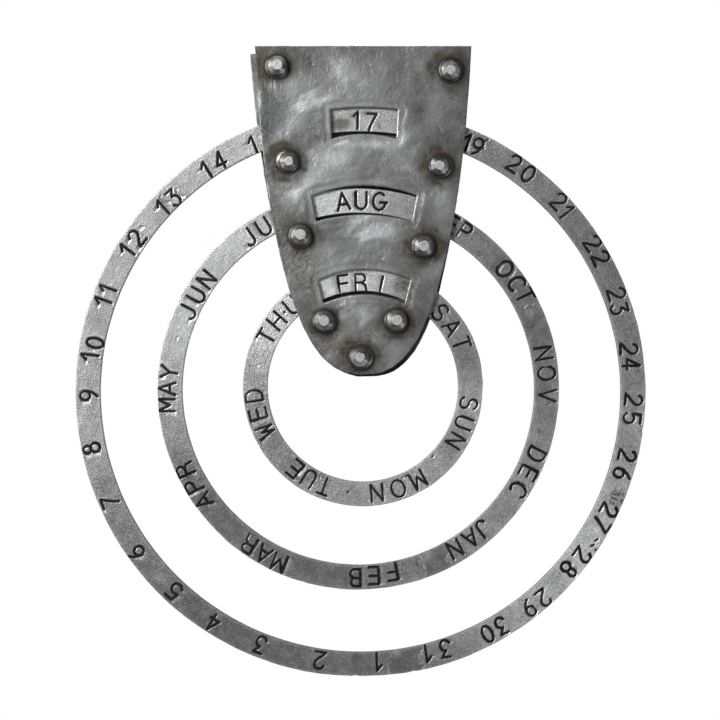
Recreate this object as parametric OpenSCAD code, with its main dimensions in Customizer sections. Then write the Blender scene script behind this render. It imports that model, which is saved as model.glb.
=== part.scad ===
// Hanging perpetual calendar: three lettered rings turn between two riveted steel plates.
// Millimetres. X to the right, Z up, the wall behind at Y = 0 and the front towards -Y.
// The origin is the centre of the hanging hole's round entry, on the back face.

/* [Plates] */
// Width of both plates along the top edge
plate_top_w = 109; // [104:0.5:120]
// Height of the front plate, top edge to tip
front_plate_h = 165.2; // [162:0.1:172]
// Height of the back plate, top edge to tip
back_plate_h = 165.7; // [162:0.1:172]
// How much each side draws in from the top to the tip before the tongue rounds off
plate_side_taper = 8; // [4:0.5:12]
// Power that sets how late the sides start to round off towards the tip
tongue_start = 2.35; // [2.1:0.05:3]
// Power that sets how full the tip is
tongue_fullness = 2.6; // [2.3:0.05:3]
// Thickness of the front plate
front_plate_t = 2; // [1.2:0.1:3]
// Thickness of the back plate
back_plate_t = 2; // [1.2:0.1:3]
// Gap between the two plates, where the rings turn
plate_gap = 4.8; // [4:0.1:6]
// Turn of the back plate against the front plate, in degrees
back_plate_turn = 2.1; // [0:0.1:2.5]
// How much higher the back plate's top edge sits than the front plate's
back_plate_rise = -0.8; // [-1.5:0.1:1.5]
// How far the back plate sits to the right of the front plate
back_plate_shift = 0.1; // [-1:0.1:1.5]

/* [Hanging hole] */
// Radius of the round entry in the back plate, for a screw's head
hang_entry_r = 4.5; // [3.5:0.1:5]
// Half width of the slot above the entry, for the screw's shank
hang_slot_r = 2.3; // [1.5:0.1:2.5]
// How far the slot rises above the entry's centre
hang_slot_rise = 9; // [7:0.5:11]
// Distance from the front plate's top edge down to the entry's centre
hang_drop = 21.9; // [20:0.1:25]
// Distance from the entry's centre across to the plates' centre line
hang_offset = 0.6; // [0:0.1:2]

/* [Rings] */
// Width of the flat bar that the rings are bent from
bar_w = 12.7; // [10:0.1:14]
// Thickness of the flat bar
bar_t = 3.2; // [2.5:0.1:3.6]
// Radius of the bar's worn long edges
bar_edge_r = 0.5; // [0.2:0.05:1]
// Inner radius of the date ring
date_bore_r = 131.2; // [128:0.1:136]
// Inner radius of the month ring
month_bore_r = 88.7; // [86:0.1:92]
// Inner radius of the weekday ring
weekday_bore_r = 48; // [45:0.1:51]
// Running clearance between a ring and the spacers that it hangs on
ring_clearance = 0.05; // [0.02:0.01:0.1]

/* [Date window] */
// Width along its top edge
date_top_w = 33.9; // [28:0.1:40]
// Width along its bottom edge
date_bottom_w = 32.4; // [26:0.1:38]
// Height in the middle
date_window_h = 13.4; // [10:0.1:15]
// Rise of the top edge's middle above its ends
date_top_rise = 1.2; // [0.5:0.1:3]
// Rise of the bottom edge's middle above its ends
date_bottom_rise = 2.3; // [0.5:0.1:4]
// Shift of its middle to the right of the date ring's centre
date_window_shift = 1.8; // [-3:0.1:3]
// Drop of its middle below the middle of the ring's bar
date_window_drop = 1; // [-1:0.1:2]

/* [Month window] */
// Width along its top edge
month_top_w = 52.9; // [46:0.1:56]
// Width along its bottom edge
month_bottom_w = 48.1; // [42:0.1:52]
// Height in the middle
month_window_h = 14.6; // [10:0.1:16]
// Rise of the top edge's middle above its ends
month_top_rise = 5; // [3:0.1:6]
// Rise of the bottom edge's middle above its ends
month_bottom_rise = 3.2; // [2:0.1:6]
// Shift of its middle to the right of the month ring's centre
month_window_shift = 2.9; // [-3:0.1:3]
// Drop of its middle below the middle of the ring's bar
month_window_drop = 0; // [-1:0.1:2]

/* [Weekday window] */
// Width along its top edge
weekday_top_w = 46.5; // [40:0.1:50]
// Width along its bottom edge
weekday_bottom_w = 40.8; // [36:0.1:46]
// Height in the middle
weekday_window_h = 12.6; // [9:0.1:14]
// Rise of the top edge's middle above its ends
weekday_top_rise = 5.2; // [3:0.1:6]
// Rise of the bottom edge's middle above its ends
weekday_bottom_rise = 4.5; // [2:0.1:6]
// Shift of its middle to the right of the weekday ring's centre
weekday_window_shift = 0.6; // [-3:0.1:3]
// Drop of its middle below the middle of the ring's bar
weekday_window_drop = 1.7; // [-1:0.1:3]

/* [Rivets] */
// Radius of a hammered head
head_r = 6.1; // [5:0.1:7]
// Height of a hammered head
head_h = 4.8; // [3:0.1:6]
// Radius of the flat struck on top of a head
head_flat_r = 2.5; // [1:0.1:3]
// Height of the upright rim round a head
head_rim_h = 0.6; // [0.2:0.1:1]
// Radius of the shank
shank_r = 3.2; // [2.5:0.1:4]
// Radius of the flush tail at the back face
tail_r = 4.7; // [4.2:0.1:5.5]
// Clearance between a shank and the holes that it fills
shank_clearance = 0.05; // [0.02:0.01:0.1]

/* [Top rivets] */
// Distance between the two
top_pair_span = 87.4; // [80:0.1:90]
// Distance of the pair's middle below the top edge
top_pair_drop = 11.3; // [9:0.1:13]
// How much lower the right one sits than the left one
top_pair_tilt = 1.5; // [-2:0.1:3]
// Shift of the pair's middle to the right of the centre line
top_pair_shift = 0.3; // [-2:0.1:2]

/* [Date ring rivets] */
// Distance between the two
date_pair_span = 77; // [74:0.1:80]
// Distance of the pair's middle below the middle of the top pair
date_pair_drop = 47.7; // [46:0.1:51]
// How much lower the right one sits than the left one
date_pair_tilt = 2.4; // [-2:0.1:4]
// Shift of the pair's middle to the right of the centre line
date_pair_shift = 0.5; // [-2:0.1:2]

/* [Month ring rivets] */
// Distance between the two
month_pair_span = 61.9; // [60:0.1:66]
// Distance of the pair's middle below the middle of the date ring's pair
month_pair_drop = 39; // [37:0.1:42]
// How much lower the right one sits than the left one
month_pair_tilt = 5; // [-2:0.1:6]
// Shift of the pair's middle to the right of the centre line
month_pair_shift = -0.6; // [-2:0.1:2]

/* [Weekday ring rivets] */
// Distance between the two
weekday_pair_span = 36; // [34:0.1:40]
// Distance of the pair's middle below the middle of the month ring's pair
weekday_pair_drop = 40.2; // [38:0.1:43]
// How much lower the right one sits than the left one
weekday_pair_tilt = -0.1; // [-2:0.1:2]
// Shift of the pair's middle to the right of the centre line
weekday_pair_shift = -1.4; // [-2:0.1:2]

/* [Tip rivet] */
// Height above the front plate's tip
tip_rivet_rise = 8.7; // [8:0.1:10]
// Shift to the right of the centre line
tip_rivet_shift = -1; // [-2:0.1:2]

/* [Spacers] */
// Radius of the two top spacers and the tip spacer, which carry no ring
plain_spacer_r = 5.5; // [4.5:0.1:6]
// Radius of the left spacer that carries the date ring
date_left_spacer_r = 9.3; // [8:0.1:11]
// Radius of the right spacer that carries the date ring
date_right_spacer_r = 10.4; // [8:0.1:11]
// Radius of the left spacer that carries the month ring
month_left_spacer_r = 6.3; // [6:0.1:10]
// Radius of the right spacer that carries the month ring
month_right_spacer_r = 9.5; // [7:0.1:10]
// Radius of the left spacer that carries the weekday ring
weekday_left_spacer_r = 9.8; // [8:0.1:11]
// Radius of the right spacer that carries the weekday ring
weekday_right_spacer_r = 10.9; // [8:0.1:11.5]

/* [Hidden] */

$fn = 96;
outline_steps = 36;
window_steps = 12;
head_steps = 6;
edge_steps = 4;
// Cuts run this far past the faces that they cut
overrun = 1;

plate_steel = [0.38, 0.40, 0.44];
dark_steel = [0.22, 0.23, 0.25];
ring_steel = [0.62, 0.63, 0.64];
rivet_steel = [0.50, 0.50, 0.51];

// Distances out from the wall
front_plate_out = back_plate_t + plate_gap;
head_out = front_plate_out + front_plate_t;
ring_out = back_plate_t + (plate_gap - bar_t) / 2;

// Depth of the 45 degree countersinks in the back plate, which the rivets' tails fill
tail_h = tail_r - shank_r;

// All places in the plates' plane are [across, up] from the hanging hole
top_edge = [hang_offset, hang_drop];

// Each pair of rivets is placed below the pair above it, so its ring follows with it
date_level = top_pair_drop + date_pair_drop;
month_level = date_level + month_pair_drop;
weekday_level = month_level + weekday_pair_drop;

function pair_place(side, span, level, tilt, shift) =
    top_edge + [shift + side * span / 2, -level - side * tilt / 2];

top_left = pair_place(-1, top_pair_span, top_pair_drop, top_pair_tilt, top_pair_shift);
top_right = pair_place(1, top_pair_span, top_pair_drop, top_pair_tilt, top_pair_shift);
date_left = pair_place(-1, date_pair_span, date_level, date_pair_tilt, date_pair_shift);
date_right = pair_place(1, date_pair_span, date_level, date_pair_tilt, date_pair_shift);
month_left = pair_place(-1, month_pair_span, month_level, month_pair_tilt, month_pair_shift);
month_right = pair_place(1, month_pair_span, month_level, month_pair_tilt, month_pair_shift);
weekday_left = pair_place(-1, weekday_pair_span, weekday_level, weekday_pair_tilt,
    weekday_pair_shift);
weekday_right = pair_place(1, weekday_pair_span, weekday_level, weekday_pair_tilt,
    weekday_pair_shift);
tip = top_edge + [tip_rivet_shift, tip_rivet_rise - front_plate_h];
rivet_places = [top_left, top_right, date_left, date_right, month_left, month_right,
    weekday_left, weekday_right, tip];

// Where a ring's centre comes to rest when its bore hangs on a left and a right spacer:
// below both, at the bore's radius less the spacer's radius from each
function hung_centre(left, right, bore_r, left_r, right_r) =
    let (
        from_left = bore_r - ring_clearance - left_r,
        from_right = bore_r - ring_clearance - right_r,
        apart = norm(right - left),
        across = (right - left) / apart,
        down = [across[1], -across[0]],
        along = (pow(from_left, 2) - pow(from_right, 2) + pow(apart, 2)) / (2 * apart)
    )
    left + along * across + sqrt(pow(from_left, 2) - pow(along, 2)) * down;

date_centre = hung_centre(date_left, date_right, date_bore_r,
    date_left_spacer_r, date_right_spacer_r);
month_centre = hung_centre(month_left, month_right, month_bore_r,
    month_left_spacer_r, month_right_spacer_r);
weekday_centre = hung_centre(weekday_left, weekday_right, weekday_bore_r,
    weekday_left_spacer_r, weekday_right_spacer_r);

// Draws its children facing the front, at this distance out from the wall
module out_from_wall(distance) {
    translate([0, -distance, 0])
        rotate([90, 0, 0])
            children();
}

// Half of the plates' width, where t runs from 0 at the top edge to 1 at the tip
function half_width(t) =
    (plate_top_w / 2 - plate_side_taper * t)
    * pow(max(0, 1 - pow(t, tongue_start)), 1 / tongue_fullness);

// The plates' outline, its top edge's middle at [0, 0]. The points crowd towards the tip.
function outline_side(side, height) =
    [for (i = [0:outline_steps - 1])
        let (t = sin(90 * i / outline_steps))
        [side * half_width(t), -height * t]];

module plate_outline(height) {
    left = outline_side(-1, height);
    right = outline_side(1, height);
    polygon(concat(
        left,
        [[0, -height]],
        [for (i = [outline_steps - 1:-1:0]) right[i]]
    ));
}

module window_outline(top_w, bottom_w, height, top_rise, bottom_rise) {
    polygon(concat(
        [for (i = [0:window_steps])
            let (s = 2 * i / window_steps - 1)
            [s * top_w / 2, height / 2 - top_rise * s * s]],
        [for (i = [window_steps:-1:0])
            let (s = 2 * i / window_steps - 1)
            [s * bottom_w / 2, -height / 2 - bottom_rise * s * s]]
    ));
}

module windows() {
    middle_r = bar_w / 2;
    translate(date_centre + [date_window_shift, date_bore_r + middle_r - date_window_drop])
        window_outline(date_top_w, date_bottom_w, date_window_h, date_top_rise,
            date_bottom_rise);
    translate(month_centre + [month_window_shift, month_bore_r + middle_r - month_window_drop])
        window_outline(month_top_w, month_bottom_w, month_window_h, month_top_rise,
            month_bottom_rise);
    translate(weekday_centre
        + [weekday_window_shift, weekday_bore_r + middle_r - weekday_window_drop])
        window_outline(weekday_top_w, weekday_bottom_w, weekday_window_h, weekday_top_rise,
            weekday_bottom_rise);
}

module shank_holes(thickness) {
    for (place = rivet_places)
        translate([place[0], place[1], -overrun])
            cylinder(h = thickness + 2 * overrun, r = shank_r + shank_clearance);
}

module countersinks() {
    for (place = rivet_places)
        translate([place[0], place[1], -overrun])
            cylinder(h = tail_h + overrun, r1 = tail_r + shank_clearance + overrun,
                r2 = shank_r + shank_clearance);
}

module hanging_hole() {
    translate([0, 0, -overrun])
        linear_extrude(back_plate_t + 2 * overrun) {
            circle(r = hang_entry_r);
            translate([-hang_slot_r, 0])
                square([2 * hang_slot_r, hang_slot_rise]);
            translate([0, hang_slot_rise])
                circle(r = hang_slot_r);
        }
}

module back_plate() {
    color(dark_steel)
        out_from_wall(0)
            difference() {
                translate(top_edge + [back_plate_shift, back_plate_rise - back_plate_h / 2])
                    rotate([0, 0, back_plate_turn])
                        translate([0, back_plate_h / 2, 0])
                            linear_extrude(back_plate_t)
                                plate_outline(back_plate_h);
                shank_holes(back_plate_t);
                countersinks();
                hanging_hole();
            }
}

module front_plate() {
    color(plate_steel)
        out_from_wall(front_plate_out)
            difference() {
                linear_extrude(front_plate_t)
                    difference() {
                        translate(top_edge)
                            plate_outline(front_plate_h);
                        windows();
                    }
                shank_holes(front_plate_t);
            }
}

// Cross-section of the flat bar with its long edges rounded, from the bore outwards
module bar_section(bore_r) {
    corners = [[bar_w, 0, -90], [bar_w, bar_t, 0], [0, bar_t, 90], [0, 0, 180]];
    translate([bore_r, 0])
        polygon([
            for (corner = corners)
                let (
                    inward_x = corner[0] > 0 ? -bar_edge_r : bar_edge_r,
                    inward_y = corner[1] > 0 ? -bar_edge_r : bar_edge_r
                )
                for (i = [0:edge_steps])
                    let (a = corner[2] + 90 * i / edge_steps)
                    [corner[0] + inward_x + bar_edge_r * cos(a),
                        corner[1] + inward_y + bar_edge_r * sin(a)]
        ]);
}

module hung_ring(centre, bore_r) {
    color(ring_steel)
        out_from_wall(ring_out)
            translate([centre[0], centre[1], 0])
                rotate_extrude()
                    bar_section(bore_r);
}

module spacer(place, outer_r) {
    color(dark_steel)
        out_from_wall(back_plate_t)
            translate([place[0], place[1], 0])
                difference() {
                    cylinder(h = plate_gap, r = outer_r);
                    translate([0, 0, -overrun])
                        cylinder(h = plate_gap + 2 * overrun, r = shank_r + shank_clearance);
                }
}

// One turned profile: flush tail, shank and hammered head
module rivet(place) {
    color(rivet_steel)
        out_from_wall(0)
            translate([place[0], place[1], 0])
                rotate_extrude()
                    polygon(concat(
                        [[0, 0], [tail_r, 0], [shank_r, tail_h], [shank_r, head_out],
                            [head_r, head_out]],
                        [for (i = [0:head_steps])
                            let (a = 90 * i / head_steps)
                            [head_flat_r + (head_r - head_flat_r) * cos(a),
                                head_out + head_rim_h + (head_h - head_rim_h) * sin(a)]],
                        [[0, head_out + head_h]]
                    ));
}

back_plate();
front_plate();
hung_ring(date_centre, date_bore_r);  // date_ring
hung_ring(month_centre, month_bore_r);  // month_ring
hung_ring(weekday_centre, weekday_bore_r);  // weekday_ring
spacer(top_left, plain_spacer_r);  // spacer_top_left
spacer(top_right, plain_spacer_r);  // spacer_top_right
spacer(date_left, date_left_spacer_r);  // spacer_date_left
spacer(date_right, date_right_spacer_r);  // spacer_date_right
spacer(month_left, month_left_spacer_r);  // spacer_month_left
spacer(month_right, month_right_spacer_r);  // spacer_month_right
spacer(weekday_left, weekday_left_spacer_r);  // spacer_weekday_left
spacer(weekday_right, weekday_right_spacer_r);  // spacer_weekday_right
spacer(tip, plain_spacer_r);  // spacer_tip
rivet(top_left);  // rivet_top_left
rivet(top_right);  // rivet_top_right
rivet(date_left);  // rivet_date_left
rivet(date_right);  // rivet_date_right
rivet(month_left);  // rivet_month_left
rivet(month_right);  // rivet_month_right
rivet(weekday_left);  // rivet_weekday_left
rivet(weekday_right);  // rivet_weekday_right
rivet(tip);  // rivet_tip
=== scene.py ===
# Hanging perpetual calendar: three stamped steel rings that turn between two riveted plates.
# Metres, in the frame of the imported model: X to the right, Z up and the front towards -Y.
import math
from collections import namedtuple

import bmesh
import bpy
import numpy as np
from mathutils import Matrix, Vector, geometry


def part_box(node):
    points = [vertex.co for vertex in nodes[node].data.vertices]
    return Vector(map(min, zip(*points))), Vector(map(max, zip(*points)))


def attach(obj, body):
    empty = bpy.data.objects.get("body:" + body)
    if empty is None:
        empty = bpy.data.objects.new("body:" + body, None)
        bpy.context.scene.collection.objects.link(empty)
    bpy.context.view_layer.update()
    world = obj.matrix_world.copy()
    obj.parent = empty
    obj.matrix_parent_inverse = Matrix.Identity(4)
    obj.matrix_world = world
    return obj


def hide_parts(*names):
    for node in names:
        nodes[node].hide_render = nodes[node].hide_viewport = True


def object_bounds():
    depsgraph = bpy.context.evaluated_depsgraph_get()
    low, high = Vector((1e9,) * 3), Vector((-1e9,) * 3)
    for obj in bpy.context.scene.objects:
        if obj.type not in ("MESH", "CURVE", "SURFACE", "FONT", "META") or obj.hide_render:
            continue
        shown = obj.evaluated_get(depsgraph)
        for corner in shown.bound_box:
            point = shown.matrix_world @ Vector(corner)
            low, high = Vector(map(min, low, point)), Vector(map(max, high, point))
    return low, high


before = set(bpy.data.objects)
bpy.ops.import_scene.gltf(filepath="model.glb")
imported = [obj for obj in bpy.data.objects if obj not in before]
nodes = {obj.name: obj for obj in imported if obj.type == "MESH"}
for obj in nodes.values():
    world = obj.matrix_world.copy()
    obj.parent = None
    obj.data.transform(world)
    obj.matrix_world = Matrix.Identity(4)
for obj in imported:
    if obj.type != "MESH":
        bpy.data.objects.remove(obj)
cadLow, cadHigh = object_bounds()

mm = 0.001
print("frame loaded:", len(nodes), "nodes")


# Small tools for meshes

# Uneven numbers that shuffle the random heights
scatter = {"shiftX": 31.7, "shiftZ": 17.9, "x": 127.1, "z": 311.7, "seed": 74.7, "spread": 43758.5453}
# A blurred spot on a plate: its place and half its sizes in mm, how strong it is, and its turn in degrees
Oval = namedtuple("Oval", "x z wide high much turn", defaults=[1, 0])


def smoothStep(value, low, high):
    t = np.clip((value - low) / (high - low), 0, 1)
    return t * t * (3 - 2 * t)


def lumps(x, z, size, seed):  # smooth random heights from -1 to 1, with lumps of about this size
    px = x / size + scatter["shiftX"] * seed
    pz = z / size + scatter["shiftZ"] * seed
    ix, iz = np.floor(px), np.floor(pz)
    fx, fz = smoothStep(px - ix, 0, 1), smoothStep(pz - iz, 0, 1)

    def corner(dx, dz):
        wave = (ix + dx) * scatter["x"] + (iz + dz) * scatter["z"] + seed * scatter["seed"]
        n = np.sin(wave) * scatter["spread"]
        return 2 * (n - np.floor(n)) - 1

    low = corner(0, 0) * (1 - fx) + corner(1, 0) * fx
    high = corner(0, 1) * (1 - fx) + corner(1, 1) * fx
    return low * (1 - fz) + high * fz


def softSpot(x, z, row):  # full strength in the middle of the oval, nothing far from it
    spot = Oval(*row)
    turn = math.radians(spot.turn)
    dx, dz = x - spot.x * mm, z - spot.z * mm
    u = (dx * math.cos(turn) + dz * math.sin(turn)) / (spot.wide * mm)
    v = (dz * math.cos(turn) - dx * math.sin(turn)) / (spot.high * mm)
    return np.exp(-(u * u + v * v)) * spot.much


def spotSum(x, z, rows):
    return sum((softSpot(x, z, row) for row in rows), np.zeros(len(x)))


def reachToPiece(points, start, end):  # shortest way from each point to one straight piece of a line
    way = end - start
    t = np.clip(((points - start) @ way) / max(way @ way, 1e-18), 0, 1)
    return np.hypot(*(points - start - t[:, None] * way).T)


def newObject(name, data):
    made = bpy.data.objects.new(name, data)
    bpy.context.scene.collection.objects.link(made)
    return made


def addPiece(name, points, faces, marks, sharpFrom):
    mesh = bpy.data.meshes.new(name)
    sizes = np.array([len(face) for face in faces], np.int32)
    corners = np.concatenate([np.asarray(face, np.int32) for face in faces])
    mesh.vertices.add(len(points))
    mesh.vertices.foreach_set("co", np.asarray(points, np.float32).ravel())
    mesh.loops.add(len(corners))
    mesh.loops.foreach_set("vertex_index", corners)
    mesh.polygons.add(len(sizes))
    mesh.polygons.foreach_set("loop_start", np.concatenate([[0], np.cumsum(sizes)[:-1]]).astype(np.int32))
    mesh.update(calc_edges=True)
    mesh.validate()
    for markName, values in marks.items():
        layer = mesh.attributes.new(markName, "FLOAT", "POINT")
        layer.data.foreach_set("value", np.asarray(values, np.float32))
    mesh.shade_smooth()
    mesh.set_sharp_from_angle(angle=math.radians(sharpFrom))
    return newObject(name, mesh)


def nodePoints(node):
    mesh = nodes[node].data
    points = np.zeros(len(mesh.vertices) * 3, np.float32)
    mesh.vertices.foreach_get("co", points)
    return points.reshape(-1, 3).astype(float)


# Node work: sums on sockets written as plain Python

class Wire:
    def __init__(self, desk, socket):
        self.desk = desk
        self.socket = socket

    def __add__(self, other):
        return self.desk.maths("ADD", self, other)

    def __radd__(self, other):
        return self.desk.maths("ADD", other, self)

    def __sub__(self, other):
        return self.desk.maths("SUBTRACT", self, other)

    def __rsub__(self, other):
        return self.desk.maths("SUBTRACT", other, self)

    def __mul__(self, other):
        return self.desk.maths("MULTIPLY", self, other)

    def __rmul__(self, other):
        return self.desk.maths("MULTIPLY", other, self)


class Desk:  # where a node tree is put together
    def __init__(self, tree):
        self.tree = tree

    def node(self, kind, settings=None, inputs=None, out=0):
        made = self.tree.nodes.new(kind)
        for key, value in (settings or {}).items():
            if key == "bends":
                self.setBends(made.mapping, value)
            else:
                setattr(made, key, value)
        for key, value in (inputs or {}).items():
            if isinstance(value, Wire):
                self.tree.links.new(value.socket, made.inputs[key])
            else:
                made.inputs[key].default_value = value
        return Wire(self, made.outputs[out]) if len(made.outputs) else made

    def setBends(self, mapping, bends):  # a curve of straight pieces through these points
        line = mapping.curves[0]
        line.points[0].location, line.points[1].location = bends[0], bends[-1]
        for bend in bends[1:-1]:
            line.points.new(*bend)
        for point in line.points:
            point.handle_type = "VECTOR"
        mapping.update()

    def maths(self, operation, first, second=0.0):
        return self.node("ShaderNodeMath", {"operation": operation}, {0: first, 1: second})

    def rise(self, value, low, high, to=1.0, start=0.0):  # start below low, then smoothly up to this
        return self.node("ShaderNodeMapRange", {"interpolation_type": "SMOOTHSTEP"},
            {"Value": value, "From Min": low, "From Max": high, "To Min": start, "To Max": to})

    def noise(self, place, size, detail=3.0, rough=0.55, twist=0.0):
        return self.node("ShaderNodeTexNoise", None,
            {"Vector": place, "Scale": 1 / size, "Detail": detail, "Roughness": rough, "Distortion": twist})

    def mix(self, factor, first, second):  # 6, 7 and output 2 are the node's colour sockets
        first = (*first, 1) if isinstance(first, tuple) else first
        second = (*second, 1) if isinstance(second, tuple) else second
        return self.node("ShaderNodeMix", {"data_type": "RGBA"}, {0: factor, 6: first, 7: second}, out=2)

    def coats(self, base, look, *coats):  # colours over one another, each where its factor says
        for factor, tone in coats:
            base = self.mix(factor, base, look[tone])
        return base

    def marks(self, *names):  # values painted on the mesh's points
        return [self.node("ShaderNodeAttribute", {"attribute_name": name}, out="Fac") for name in names]

    def place(self):
        return self.node("ShaderNodeTexCoord", out="Object")

    def split(self, vector):
        made = self.tree.nodes.new("ShaderNodeSeparateXYZ")
        self.tree.links.new(vector.socket, made.inputs[0])
        return [Wire(self, socket) for socket in made.outputs]

    def join(self, x, y, z):
        return self.node("ShaderNodeCombineXYZ", None, {0: x, 1: y, 2: z})


def newFinish(name):
    material = bpy.data.materials.new(name)
    material.use_nodes = True
    material.node_tree.nodes.clear()
    return material, Desk(material.node_tree)


def steelShader(desk, colour, roughness, height, metallic):  # heights are in mm
    normal = desk.node("ShaderNodeBump", None, {"Strength": 1.0, "Distance": mm, "Height": height})
    shader = desk.node("ShaderNodeBsdfPrincipled", None,
        {"Base Color": colour, "Roughness": roughness, "Metallic": metallic, "Normal": normal})
    desk.node("ShaderNodeOutputMaterial", None, {"Surface": shader})


# Steel plates: cut outlines come from the CAD faces, the beaten surface is made here

def faceLoops(node, side):  # closed outlines of a flat face, side -1 for the front and 1 for the back
    work = bmesh.new()
    work.from_mesh(nodes[node].data)
    bmesh.ops.remove_doubles(work, verts=work.verts, dist=1e-6)
    edge = side * max(side * vert.co.y for vert in work.verts)
    flat = {face for face in work.faces if all(abs(vert.co.y - edge) < 2e-5 for vert in face.verts)}
    ways = {}
    for rim in work.edges:
        if sum(face in flat for face in rim.link_faces) == 1:
            first, second = rim.verts
            ways.setdefault(first, []).append(second)
            ways.setdefault(second, []).append(first)
    loops = []
    while ways:
        walk = [next(iter(ways))]
        while walk:
            steps = [vert for vert in ways.pop(walk[-1]) if vert in ways]
            if not steps:
                break
            walk.append(steps[0])
        loops.append(np.array([(vert.co.x, vert.co.z) for vert in walk]))
    work.free()
    return sorted(loops, key=lambda loop: -np.ptp(loop, axis=0).sum())


def roundHole(loop):  # centre and radius, or nothing where the outline isn't a circle
    middle = (loop.max(0) + loop.min(0)) / 2
    reach = np.hypot(*(loop - middle).T)
    return (middle, reach.mean()) if np.ptp(reach) < 0.03 * mm else None


def cutFine(loop, step):  # the same outline with more points on its long edges
    points = []
    for start, end in zip(loop, np.roll(loop, -1, axis=0)):
        parts = max(1, round(math.dist(start, end) / step))
        points += [start + (end - start) * k / parts for k in range(parts)]
    return np.array(points)


def runsLeft(loop):  # outlines all run anticlockwise
    x, z = loop.T
    return loop if (x * np.roll(z, -1) - np.roll(x, -1) * z).sum() > 0 else loop[::-1]


def leftNormals(loop):
    way = np.roll(loop, -1, axis=0) - np.roll(loop, 1, axis=0)
    normal = np.stack([-way[:, 1], way[:, 0]], 1)
    return normal / np.hypot(*normal.T)[:, None]


def reachTo(points, loop):  # shortest way from each point to an outline
    best = np.full(len(points), 1.0)
    for start, end in zip(loop, np.roll(loop, -1, axis=0)):
        best = np.minimum(best, reachToPiece(points, start, end))
    return best


def reachToAny(points, loops):
    return np.min([reachTo(points, loop) for loop in loops], axis=0)


def insideOf(points, loop):
    x, z = points.T
    inside = np.zeros(len(points), bool)
    for (ax, az), (bx, bz) in zip(loop, np.roll(loop, -1, axis=0)):
        if az != bz:
            inside ^= ((az > z) != (bz > z)) & (x < ax + (z - az) / (bz - az) * (bx - ax))
    return inside


def onSheet(points, loops):  # inside the first outline and outside the others
    solid = insideOf(points, loops[0])
    for cut in loops[1:]:
        solid &= ~insideOf(points, cut)
    return solid


def insetRows(loops, insets):  # rows of points that follow each outline on the sheet
    rows = []
    for k, loop in enumerate(loops):
        inward = 1 if k == 0 else -1
        for inset in insets:
            moved = loop + inward * inset * leftNormals(loop)
            rows.append(moved[reachToAny(moved, loops) > 0.93 * inset])
    return rows


def openField(loops, step, margin):  # points in a pattern of triangles, clear of every outline
    low, high = loops[0].min(0), loops[0].max(0)
    rowStep = step * 0.866  # the height of a triangle with equal sides
    x, z = np.meshgrid(np.arange(low[0], high[0], step), np.arange(low[1], high[1], rowStep))
    x = x + (np.arange(len(z)) % 2)[:, None] * step / 2
    field = np.stack([x.ravel(), z.ravel()], 1)
    field = field[onSheet(field, loops)]
    return field[reachToAny(field, loops) > margin]


def sheetFace(loops, step, insets):  # triangles over the sheet, its outlines first in the list
    points = np.vstack(loops + insetRows(loops, insets) + [openField(loops, step, max(insets) + 0.6 * step)])
    edges, count = [], 0
    for loop in loops:
        edges += [(count + k, count + (k + 1) % len(loop)) for k in range(len(loop))]
        count += len(loop)
    made = geometry.delaunay_2d_cdt([Vector(p) for p in points.tolist()], edges, [], 0, 1e-9)
    laid = np.array([list(p) for p in made[0]])
    faces = np.array([list(face) for face in made[2]])
    faces = faces[onSheet(laid[faces].mean(1), loops)]
    a, b, c = laid[faces[:, 0]], laid[faces[:, 1]], laid[faces[:, 2]]
    turn = (b - a)[:, 0] * (c - a)[:, 1] - (b - a)[:, 1] * (c - a)[:, 0]
    faces[turn < 0] = faces[turn < 0][:, ::-1]
    faces = faces[np.abs(turn) > 1e-3 * mm * mm]  # no slivers between points in line on an outline
    return laid, faces, count


def wornEdge(gap, radius):  # how far a rounded edge falls back at this distance from the cut
    t = np.clip(1 - gap / radius, 0, 1)
    return radius * (1 - np.sqrt(1 - t * t))


def plateOutlines(name, look):  # its rim, its other cut-outs, and its rivet holes with both radii
    frontLoops, backLoops = faceLoops(name, -1), faceLoops(name, 1)
    behind = [hole for hole in map(roundHole, backLoops[1:]) if hole]
    cuts, holes = [], []
    for loop in frontLoops[1:]:
        hole = roundHole(loop)
        if hole:
            tail = min(behind, key=lambda other: math.dist(other[0], hole[0]))
            holes.append((*hole, tail[1]))
        else:
            cuts.append(cutFine(runsLeft(loop), look["rimStep"] * mm))
    return cutFine(runsLeft(frontLoops[0]), look["rimStep"] * mm), cuts, holes


def roundCut(middle, radius, sides=36):
    turn = np.arange(sides) * math.tau / sides
    return middle + radius * np.stack([np.cos(turn), np.sin(turn)], 1)


def beatenDrop(flat, rim, cuts, holes, look):  # how far the hammered face lies behind the CAD's
    x, z = flat.T
    cutGap = reachToAny(flat, cuts)
    drop = wornEdge(reachTo(flat, rim), look["edge"] * mm * (1 + 0.5 * lumps(x, z, 9 * mm, 3)))
    drop += wornEdge(cutGap, look["cutEdge"] * mm)
    pressed = cutGap + 0.7 * mm * lumps(x, z, 5 * mm, 5) + 0.3 * mm * lumps(x, z, 1.8 * mm, 6)
    drop += look["dish"] * mm * smoothStep(-pressed, -look["dishWide"] * mm, (2.2 - look["dishWide"]) * mm)
    drop += look["wave"] * mm * (1 + lumps(x, z, 17 * mm, 7))
    drop += 0.4 * look["wave"] * mm * (1 + lumps(x, z, 6 * mm, 8))
    drop += look["pits"] * mm * smoothStep(lumps(x, z, 1.7 * mm, 11) * lumps(x, z, 6 * mm, 12), 0.35, 0.7)
    drop += mm * spotSum(x, z, look["dents"])
    holeGap = np.min([np.hypot(*(flat - middle).T) - radius for middle, radius, _ in holes], axis=0)
    drop *= 0.3 + 0.7 * smoothStep(holeGap, 2 * mm, 6 * mm)  # flatter where the rivets are set
    return np.clip(drop, 0, look["deepest"] * mm)


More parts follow.
